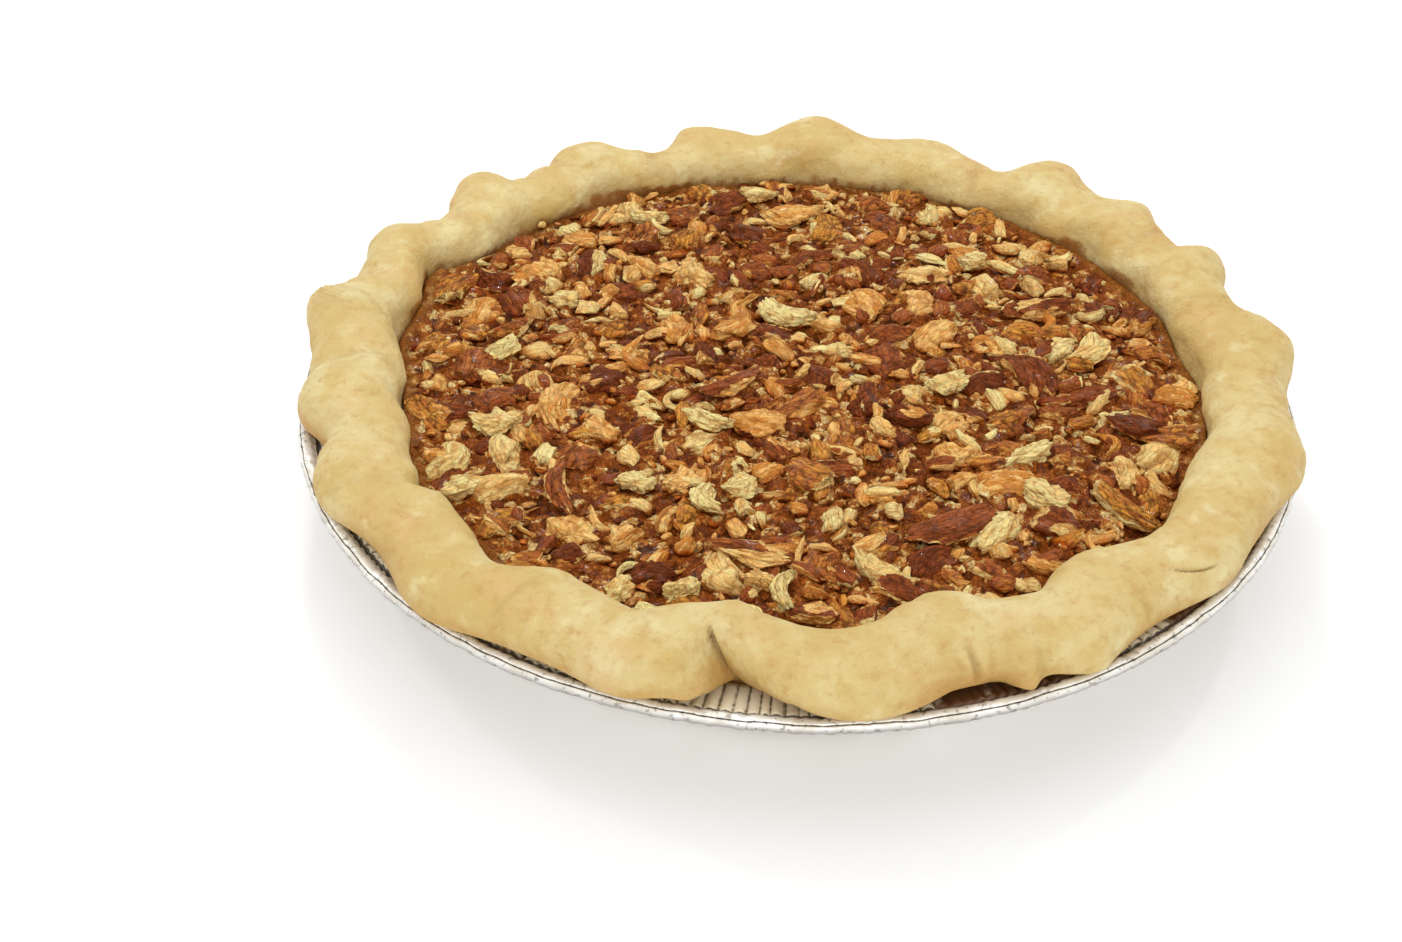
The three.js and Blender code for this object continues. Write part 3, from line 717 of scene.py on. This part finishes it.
def syrupMaterial():
    material, shader = newMaterial("brownSyrup")
    place = objectPlace()
    look = dict(dark=(54, 18, 2), amber=(172, 88, 26), edge=(146, 88, 32), crack=(40, 14, 2),
                chips=[(0.0, (104, 46, 16)), (0.45, (154, 80, 30)), (0.68, (192, 118, 52)),
                       (0.82, (226, 174, 98)), (1.0, (246, 212, 144))])
    cloud = noise(place, 4, 4)
    grit = noise(place, 0.9, 4, 0.6)
    draw, cracks = flakes(ragged(place, 1.0, 0.8), 1.1)
    tone = unevenly(painted("tone"), (grit, 0.3), (draw, 0.5))
    syrup = layered(look["dark"], [
        (ranged(cloud, 0.3, 0.7), look["amber"]),
        (patchy("chip", grit, 0.8, 0.25, 0.6, (0.0, 0.9)), ramp(tone, look["chips"])),
        # dark syrup with painted shade in the cracks between the chips
        (ranged(cracks, 0.12, 0.0, (0.0, 0.55)), look["crack"]),
        (patchy("edge", cloud, 0.8, 0.2, 0.9, (0.0, 0.8)), look["edge"])])
    setInputs(shader, {"Base Color": syrup, "Roughness": 0.42})
    setGlaze(place, shader)
    bumps = sums("ADD", sums("ADD", grit, cloud), ranged(cracks, 0.0, 0.3, (0.0, 0.6)))
    addBump(shader, bumps, 0.6, 0.9)
    return material


# The three sizes whose places repeat those of the solid: share of all, and half sizes.
laidPecans = dict(count=158, share=[0.09, 0.46, 0.45], length=[9.5, 6.6, 4.8], width=[4.6, 4.5, 3.8],
                  height=[3.4, 3.1, 2.8], size=(0.85, 1.15), roll=25, pitch=8, stand=(0.05, 0.3),
                  reach=0.97, waver=0.06, curl=0.4,
                  broken=0.42,   # share that lie with the broken side up
                  grown=1.15)    # larger than the solid's, to make up for what is broken off
# The rest of the cover, between them.
gapPecans = dict(count=330, length=(2.8, 5.8), width=(1.8, 3.6), height=(1.5, 2.4), tilt=26, curl=0.2,
                 stand=(0.2, 0.9), reach=0.975, broken=0.45)
slivers = dict(count=100, length=(2.8, 5.5), width=(0.7, 1.5), height=(0.8, 1.4), tilt=35, curl=0.5,
               stand=(0.8, 2.6), reach=0.95, broken=0.75)
crumbs = dict(count=900, length=(0.8, 2.4), width=(0.5, 1.3), height=(0.5, 1.0), tilt=35, curl=0.16,
              stand=(0.4, 2.0), reach=0.975, broken=0.6)
creases = dict(apart=(2.4, 4.2), along=0.35, deep=0.5)   # in the nuts: mm apart, mm deep
# A nut of half size 1: how long and how strong its lumps and crags are, how deep its ridges and groove, how
# near the planes cut it and how much they lean, and how far below its middle the skin's edge runs.
nutShape = dict(lumps=([1.1, 0.8, 0.5, 0.34], [0.10, 0.09, 0.07, 0.04]), crags=([0.24, 0.17], [0.05, 0.04]),
                ridge=0.05, groove=0.26, near=0.5, lean=0.35, skinEdge=0.3)
nudge = 1.6   # mm that the scattered pieces lie off their even places
goldenAngle = math.pi * (3 - 5 ** 0.5)

# The pieces that stand out on top; broken is 1 where the broken side is up, tone is 0 dark to 1 pale.
topPecans = np.array([
    # x, y, turn, length, width, curl, broken, tone
    [-3, 27, -32, 14.5, 7.5, 0.35, 1, 1], [73, 14, 57, 14, 8, 0.4, 1, 0.8],
    [16.5, -74, -41, 17, 7, 0.5, 1, 0.8], [-4, -83, -101, 15, 4, 0.6, 1, 1],
    [-9, -21, 2, 13, 9, 0.1, 1, 0.1], [33, -60, 29, 23, 10, 0.1, 0, 0.35], [62, 33, -3, 15, 8, 0.1, 0, 0.4],
    [56, -47, -24, 11, 9, 0.3, 1, 0.9], [53, -31, 28, 16, 5, 0.2, 1, 0.9],
    [-22, -20, -25, 14, 5, 0.2, 1, 0.9], [74, -50, -51, 18, 6, 0.2, 0, 0.9],
    [-56, -46, -84, 22, 6, 0.2, 0, 0.5], [-71, 19, 37, 15, 5, 0.2, 0, 0.7], [-72, 11, 44, 10, 5, 0.2, 1, 1],
    [-22, -51, -72, 10, 7, 0.5, 1, 0.9], [-14, -46, 54, 9, 7, 0.5, 1, 0.9],
    [-38, -44, 20, 10, 9, 0.3, 1, 0.9], [-12, -70, -11, 20, 9, 0.1, 0, 0.5],
    [2, -90, 19, 11, 8, 0.2, 0, 0.3], [-10, -80, -29, 7, 6, 0.1, 1, 0.5], [-27, -83, 41, 9, 7, 0.5, 1, 0.9],
    [0, 77, 11, 14, 7, 0.2, 1, 0.3], [-9, 88, 3, 11, 5, 0.3, 1, 0.8], [-38, 75, 2, 11, 5, 0.3, 1, 0.9],
    [-12, 66, -9, 9, 8, 0.1, 0, 0.1], [37, -2, 29, 12, 7, 0.3, 1, 0.9], [27, -17, -13, 12, 7, 0.2, 0, 0.1],
    [80, -18, -16, 13, 9, 0.2, 0, 0], [-16, -5, 36, 17, 6, 0.2, 0, 0.4], [2, -42, -32, 12, 9, 0.2, 0, 0.8],
    [46, 55, 18, 9, 7, 0.3, 1, 0.9], [-84, -17, -7, 13, 6, 0.2, 0, 0.2], [-72, -21, 16, 11, 8, 0.4, 1, 0.8],
    [-79, -47, 20, 10, 6, 0.3, 1, 0.9]])
# half height, how much larger, middle above the syrup, roll and pitch (radians), how far nuts under it sink
topLook = dict(height=2.1, grown=1.1, stand=2.7, roll=0.14, pitch=0.06, sink=1.8)


# turning matrices for many pieces at once, about axis 0, 1 or 2: cos on the diagonal, sin and -sin beside it
def turning(angle, axis):
    matrix = np.zeros((len(angle), 3, 3))
    i, j = (axis + 1) % 3, (axis + 2) % 3
    matrix[:, axis, axis] = 1
    matrix[:, i, i] = matrix[:, j, j] = np.cos(angle)
    matrix[:, j, i], matrix[:, i, j] = np.sin(angle), -np.sin(angle)
    return matrix


# roll about X, then pitch about Y, then turn about Z
def turnings(roll, pitch, turn):
    return turning(turn, 2) @ turning(pitch, 1) @ turning(roll, 0)


# Broken pieces of nut, from half sizes (pieces by 3), how much each curls, and 1 where the broken side is
# up. Each is a ball scaled to its size, with lumps (sines in random directions), lengthwise ridges
# cos(5 round) and the nut's groove, cut by planes, so that what reaches past a plane is laid onto it, and
# then bent sideways by curl * x^2. cut is how far past a plane or the skin's edge a point is, over 0 on
# the inside of the nut. grain holds places along the piece for the streaks. hollow is 1 in the creases,
# which are the sharp valleys of 1 - |sin| along random directions, most of them across the piece.
def brokenPieces(half, curl, broken, rings, around, key):
    rng = np.random.default_rng(seed * 100 + key)
    count = len(half)
    polar = np.linspace(0, np.pi, rings + 2)[1:-1]
    circle = np.arange(around) * 2 * np.pi / around
    ball = np.stack([np.repeat(np.cos(polar), around), np.outer(np.sin(polar), np.cos(circle)).ravel(),
                     np.outer(np.sin(polar), np.sin(circle)).ravel()], -1)
    ball = np.concatenate([[[1, 0, 0]], ball, [[-1, 0, 0]]])
    x, y, z = ball.T
    broken = broken[:, None]

    def waves(lengths, strengths=None):
        heading = rng.normal(0, 1, (count, len(lengths), 3)) / np.array(lengths)[:, None]
        phase = rng.uniform(0, 2 * np.pi, (count, len(lengths), 1))
        wave = np.sin(np.einsum("vk,nwk->nwv", ball, heading) * 2 + phase)
        return wave if strengths is None else np.einsum("nwv,w->nv", wave, strengths)

    lumps = waves(*nutShape["lumps"])
    start = rng.uniform(0, 2 * np.pi, (count, 1))
    ridges = nutShape["ridge"] * np.cos(5 * np.arctan2(z, y) + 0.8 * np.sin(2 * x + start) + start)
    groove = rng.uniform(0, nutShape["groove"], (count, 1)) * hump(y - 0.3 * np.sin(start), 0.2) * (z > 0)
    shape = (1 + mix(0.8, 1.5, broken) * lumps + (1 - broken) * (ridges - groove))[..., None] * ball
    crags = waves(*nutShape["crags"])
    # the skin's edge runs round the upper side of pieces that lie with the broken side up
    cut = np.where(broken > 0, shape[..., 2] + nutShape["skinEdge"] + 3 * crags, -1.0)
    for facing in [(1, 0, 0), (-1, 0, 0), (0, 1, 0), (0, -1, 0)]:
        normal = facing + rng.normal(0, nutShape["lean"], (count, 3))
        normal /= lengthOf(normal)
        limit = nutShape["near"] + rng.uniform(0, 0.5, (count, 1))
        past = np.einsum("nvk,nk->nv", shape, normal) - limit - crags
        shape = shape - np.maximum(past, 0)[..., None] * normal[:, None]
        cut = np.maximum(cut, past * 2)
    grain = shape * half[:, None] * [0.3, 1, 1] + rng.uniform(0, 300, (count, 1, 3))
    heading = rng.normal(0, 1, (count, 4, 3)) * [creases["along"], 1, 1]
    heading *= np.pi / (rng.uniform(*creases["apart"], (count, 4, 1)) * lengthOf(heading))
    phase = rng.uniform(0, 2 * np.pi, (count, 4, 1)) + 1.4 * waves([0.9, 0.7, 0.6, 0.5])
    valleys = 1 - abs(np.sin(np.einsum("nvk,nwk->nwv", shape * half[:, None], heading) + phase))
    hollow = (valleys ** 2).max(1) * smooth((half.min(1) - 1) / 1.5)[:, None]
    points = shape * half[:, None] - (creases["deep"] * (hollow - 0.3))[..., None] * ball
    points[..., 1] += (curl * half[:, 0])[:, None] * (shape[..., 0] ** 2 - 0.4)
    return dict(points=points, cut=cut, hollow=hollow, grain=grain * metre, rings=rings, around=around)


# Lays the pieces on the filling: turned, moved to their places, and moved inwards where they would reach
# into the crust. soaked is 1 where a point is low in the syrup.
def layPieces(name, pieces, places, rotation, material, tone, pale):
    points = np.einsum("nij,nvj->nvi", rotation, pieces["points"]) + places[:, None]
    angle = np.degrees(np.arctan2(points[..., 1], points[..., 0]))
    room = np.minimum(edgeAt(angle)[1], wellAt(angle)) - filling["clearance"] * 0.4
    over = np.maximum(awayOf(points) - room, 0).max(1)
    heading = places[:, :2] / np.maximum(awayOf(places), 1e-6)[:, None]
    points[..., :2] -= (over[:, None] * heading)[:, None]
    level = points[..., 2] - fillingTop(awayOf(points))
    soaked = smooth(1 - (level - 0.4) / 2.6)
    size = points.shape[1]
    quads, triangles = closedFaces(pieces["rings"], pieces["around"])
    shift = (np.arange(len(points)) * size)[:, None, None]
    values = dict(cut=pieces["cut"].ravel(), hollow=pieces["hollow"].ravel(), soaked=soaked.ravel(),
                  tone=np.repeat(tone, size), pale=np.repeat(pale, size),
                  grain=pieces["grain"].reshape(-1, 3))
    return makePiece(name, points.reshape(-1, 3), (quads + shift).reshape(-1, 4),
                     (triangles + shift).reshape(-1, 3), material, values, sharpOver=52)


# the pieces of the solid, at its places
def makeLaidPecans(material):
    look = laidPecans
    i = np.arange(look["count"])

    def either(amount, k):
        return mix(-amount, amount, drawn(i, k))

    kind = np.minimum(np.searchsorted(np.cumsum(look["share"]), drawn(i, 9), side="right"), 2)
    half = np.stack([np.array(look[key])[kind] for key in ("length", "width", "height")], -1)
    size = mix(*look["size"], drawn(i, 3))
    turn = i * goldenAngle + either(look["waver"], 1)
    spot, away = spiral(i, turn, crust["wellRadius"] * look["reach"])
    rotation = turnings(np.radians(either(look["roll"], 4)), np.radians(either(look["pitch"], 5)),
                        2 * np.pi * drawn(i, 6))
    level = fillingTop(away) + half[:, 2] * size * mix(*look["stand"], drawn(i, 8))
    places = np.column_stack([spot, level])
    banked = bankAt(np.degrees(turn), wellAt(np.degrees(turn)) - away)
    places[:, 2] -= topLook["sink"] * underTop(places) + bankSink * banked
    tone, pale, curl = drawn(i, 50), drawn(i, 51), either(look["curl"], 53)
    broken = (drawn(i, 52) < look["broken"]).astype(float)
    made = []
    for number, (name, rings, around) in enumerate([("longPecans", 36, 46), ("choppedPecans", 26, 34),
                                                    ("smallPecans", 20, 28)]):
        here = kind == number
        grown = half[here] * size[here, None] * [look["grown"], look["grown"], 1.1]
        pieces = brokenPieces(grown, curl[here], broken[here], rings, around, 31 + number)
        made.append(layPieces(name, pieces, places[here], rotation[here], material, tone[here], pale[here]))
    return made, places, half[:, 0] * size * look["grown"]


# a sunflower's even spiral, at most so far from the middle: sqrt((i + 0.5) / count) of it
def spiral(i, turn, furthest):
    away = furthest * np.sqrt((i + 0.5) / len(i))
    return np.stack([away * np.cos(turn), away * np.sin(turn)], -1), away


# how far a place lies under the pieces on top, from 0 to 1
def underTop(places):
    off = places[:, None, :2] - topPecans[None, :, :2]
    return hump(awayOf(off), topPecans[:, 3] * 0.42).max(1)


def makeTopPecans(material):
    rng = np.random.default_rng(seed)
    count = len(topPecans)
    x, y, turn, length, width, curl, broken, tone = topPecans.T
    half = np.stack([length / 2, width / 2, np.full(count, topLook["height"])], -1) * topLook["grown"]
    level = fillingTop(np.hypot(x, y)) + topLook["stand"]
    rotation = turnings(rng.normal(0, topLook["roll"], count), rng.normal(0, topLook["pitch"], count),
                        np.radians(turn))
    pieces = brokenPieces(half, curl, broken, 32, 42, 30)
    return layPieces("topPecans", pieces, np.column_stack([x, y, level]), rotation, material, tone, tone)


# the pieces between: on finer spirals as wide as the case is, nudged about, but not under those on top
def scattered(name, look, material, key, rings, around, offset):
    rng = np.random.default_rng(seed * 10 + key)
    i = np.arange(look["count"])
    turn = i * goldenAngle + offset
    spot = spiral(i, turn, wellAt(np.degrees(turn)) * look["reach"])[0] + rng.normal(0, nudge, (len(i), 2))
    inwards = wellAt(np.degrees(turn)) - awayOf(spot)
    spot = spot[(underTop(spot) < 0.5) & (bankAt(np.degrees(turn), inwards) < 0.35)]
    count = len(spot)
    half = np.stack([rng.uniform(*look[k], count) for k in ("length", "width", "height")], -1)
    level = fillingTop(awayOf(spot)) + half[:, 2] * rng.uniform(*look["stand"], count)
    tilt = np.radians(look["tilt"])
    rotation = turnings(rng.normal(0, tilt * 0.6, count), rng.normal(0, tilt * 0.4, count),
                        rng.uniform(0, 2 * np.pi, count))
    broken = (rng.uniform(0, 1, count) < look["broken"]).astype(float)
    pieces = brokenPieces(half, rng.normal(0, look["curl"], count), broken, rings, around, key)
    tone, pale = rng.uniform(0, 1, (2, count))
    return layPieces(name, pieces, np.column_stack([spot, level]), rotation, material, tone, pale)


# Skin outside and paler flesh where it is broken, both streaked along the piece, and browner and darker
# where the syrup has soaked it; low down that dark is deepened as painted shade for the gaps between pieces,
# and painted shade darkens the crease hollows.
def pecanMaterial():
    material, shader = newMaterial("glazedPecan")
    look = dict(
        skin=[(0.0, (120, 56, 26)), (0.35, (158, 80, 40)), (0.7, (186, 106, 50)), (1.0, (228, 158, 66))],
        flesh=[(0.0, (220, 142, 62)), (0.3, (254, 196, 114)), (0.7, (254, 216, 138)),
               (1.0, (253, 232, 158))],
        skinHollowShade=(84, 38, 18), fleshHollowShade=(186, 120, 52), glaze=(214, 136, 58), syrup=(68, 24, 2),
        crack=(40, 14, 2))
    place = objectPlace()
    grain = addNode("Attribute", {}, attribute_name="grain").outputs["Vector"]
    streaks = noise(grain, 1.0, 4, 0.65)
    grit = noise(place, 0.7, 3, 0.6)
    draw, cracks = flakes(ragged(grain, 1.0, 0.9), 1.2)
    skin = ramp(unevenly(painted("tone"), (streaks, 0.8), (draw, 0.3)), look["skin"])
    flesh = ramp(unevenly(painted("pale"), (streaks, 1.0), (draw, 0.5)), look["flesh"])
    cut = ranged(unevenly(painted("cut"), (streaks, 0.3), (grit, 0.2)), -0.04, 0.1)
    glazed = patchy("soaked", noise(place, 5, 3), 1.4, 0.1, 0.95)
    lines = times(ranged(unevenly(cracks, (grit, 0.2)), 0.1, -0.02, (0.0, 0.7)),
                  ranged(cut, 0, 1, (0.9, 0.4), "LINEAR"))
    nut = mixColour(glazed, mixColour(cut, skin, flesh), look["glaze"], "MULTIPLY")
    nut = layered(nut, [
        # painted shade, darker in the crease hollows
        (patchy("hollow", grit, 0.4, 0.4, 1.0, (0.0, 0.75)),
         mixColour(cut, look["skinHollowShade"], look["fleshHollowShade"])),
        (lines, look["crack"]),
        # syrup colour, deepened as painted shade for the gaps between pieces, low on each piece
        (patchy("soaked", grit, 0.5, 0.46, 0.96, (0.0, 0.95)), look["syrup"])])
    setInputs(shader, {"Base Color": nut, "Roughness": ranged(streaks, 0.3, 0.7, (0.34, 0.55)),
                       "Subsurface Weight": 0.08, "Subsurface Scale": 1.0,
                       "Subsurface Radius": (0.002, 0.001, 0.0004)})
    setGlaze(place, shader)
    bumps = sums("ADD", times(streaks, 1.6), times(grit, 0.8))
    addBump(shader, sums("ADD", bumps, ranged(cracks, 0.0, 0.25, (0.0, 0.5))), 0.8)
    return material


studio = dict(floorSize=6.0, floor=(0.96, 0.96, 0.955, 1), roughness=0.9, sky=0.86)
# Lamps: name, watts, how wide (m), place, and how high over the middle it is aimed.
lamps = [("overhead", 2.85, 1.3, (-0.1, -0.1, 1.2), 0.02), ("frontFill", 2.1, 1.0, (0.1, -1.2, 0.8), 0.03),
         ("frontLow", 2.6, 0.8, (0.1, -1.3, 0.3), 0.03), ("backKey", 2.6, 0.3, (-0.15, 0.75, 1.0), 0.03),
         ("backSpark", 0.7, 0.03, (-0.2, 0.8, 0.7), 0.03), ("leftSpark", 0.6, 0.03, (-0.7, 0.3, 0.8), 0.03),
         ("rightSpark", 0.6, 0.03, (0.5, 0.5, 0.8), 0.03)]
cameraView = dict(place=(-0.0232, -0.5343, 0.3985), tilt=53.70, roll=1.02, focal=67.69, sensor=36.0)


def makeStudio():
    half = studio["floorSize"] / 2
    mesh = bpy.data.meshes.new("floor")
    corners = [(-half, -half, 0), (half, -half, 0), (half, half, 0), (-half, half, 0)]
    mesh.from_pydata(corners, [], [(0, 1, 2, 3)])
    material, shader = newMaterial("paleFloor")
    setInputs(shader, {"Base Color": studio["floor"], "Roughness": studio["roughness"]})
    mesh.materials.append(material)
    floor = addObject("floor", mesh)
    for name, power, size, place, aim in lamps:
        data = bpy.data.lights.new(name, "AREA")
        data.energy = power
        data.shape = "DISK"
        data.size = size
        light = addObject(name, data)
        light.location = place
        light.rotation_euler = (Vector((0, 0, aim)) - light.location).to_track_quat("-Z", "Y").to_euler()
    world = bpy.data.worlds.new("studio")
    world.use_nodes = True
    sky = {"Color": (1, 1, 1, 1), "Strength": studio["sky"]}
    setInputs(world.node_tree.nodes["Background"], sky)
    bpy.context.scene.world = world
    bpy.context.scene.view_settings.view_transform = "Standard"


def makeCamera():
    data = bpy.data.cameras.new("camera")
    data.lens = cameraView["focal"]
    data.sensor_width = cameraView["sensor"]
    data.clip_start = 0.01
    camera = addObject("camera", data)
    turn = Matrix.Rotation(math.radians(cameraView["tilt"]), 4, "X") @ Matrix.Rotation(
        math.radians(cameraView["roll"]), 4, "Z")
    camera.matrix_world = Matrix.Translation(cameraView["place"]) @ turn
    bpy.context.scene.camera = camera


makeCamera()
makeStudio()
print("camera and studio made")

foilTin = makeTin(foilMaterial())
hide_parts("foil_tin")

pastryCrust = makeCrust(pastryMaterial())
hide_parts("crust")

glazedPecan = pecanMaterial()
pecans, laidPlaces, laidSizes = makeLaidPecans(glazedPecan)
pecans.append(makeTopPecans(glazedPecan))
pecans.append(scattered("gapPecans", gapPecans, glazedPecan, 41, 7, 9, 1.1))
pecans.append(scattered("pecanSlivers", slivers, glazedPecan, 43, 9, 8, 3.7))
pecans.append(scattered("pecanCrumbs", crumbs, glazedPecan, 42, 4, 5, 2.3))
syrup = makeCore(syrupMaterial(), laidPlaces, laidSizes)
for piece in [syrup] + pecans:
    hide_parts("pecan_filling")
for piece in [foilTin, pastryCrust, syrup] + pecans:
    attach(piece, "root")
print("pie made")
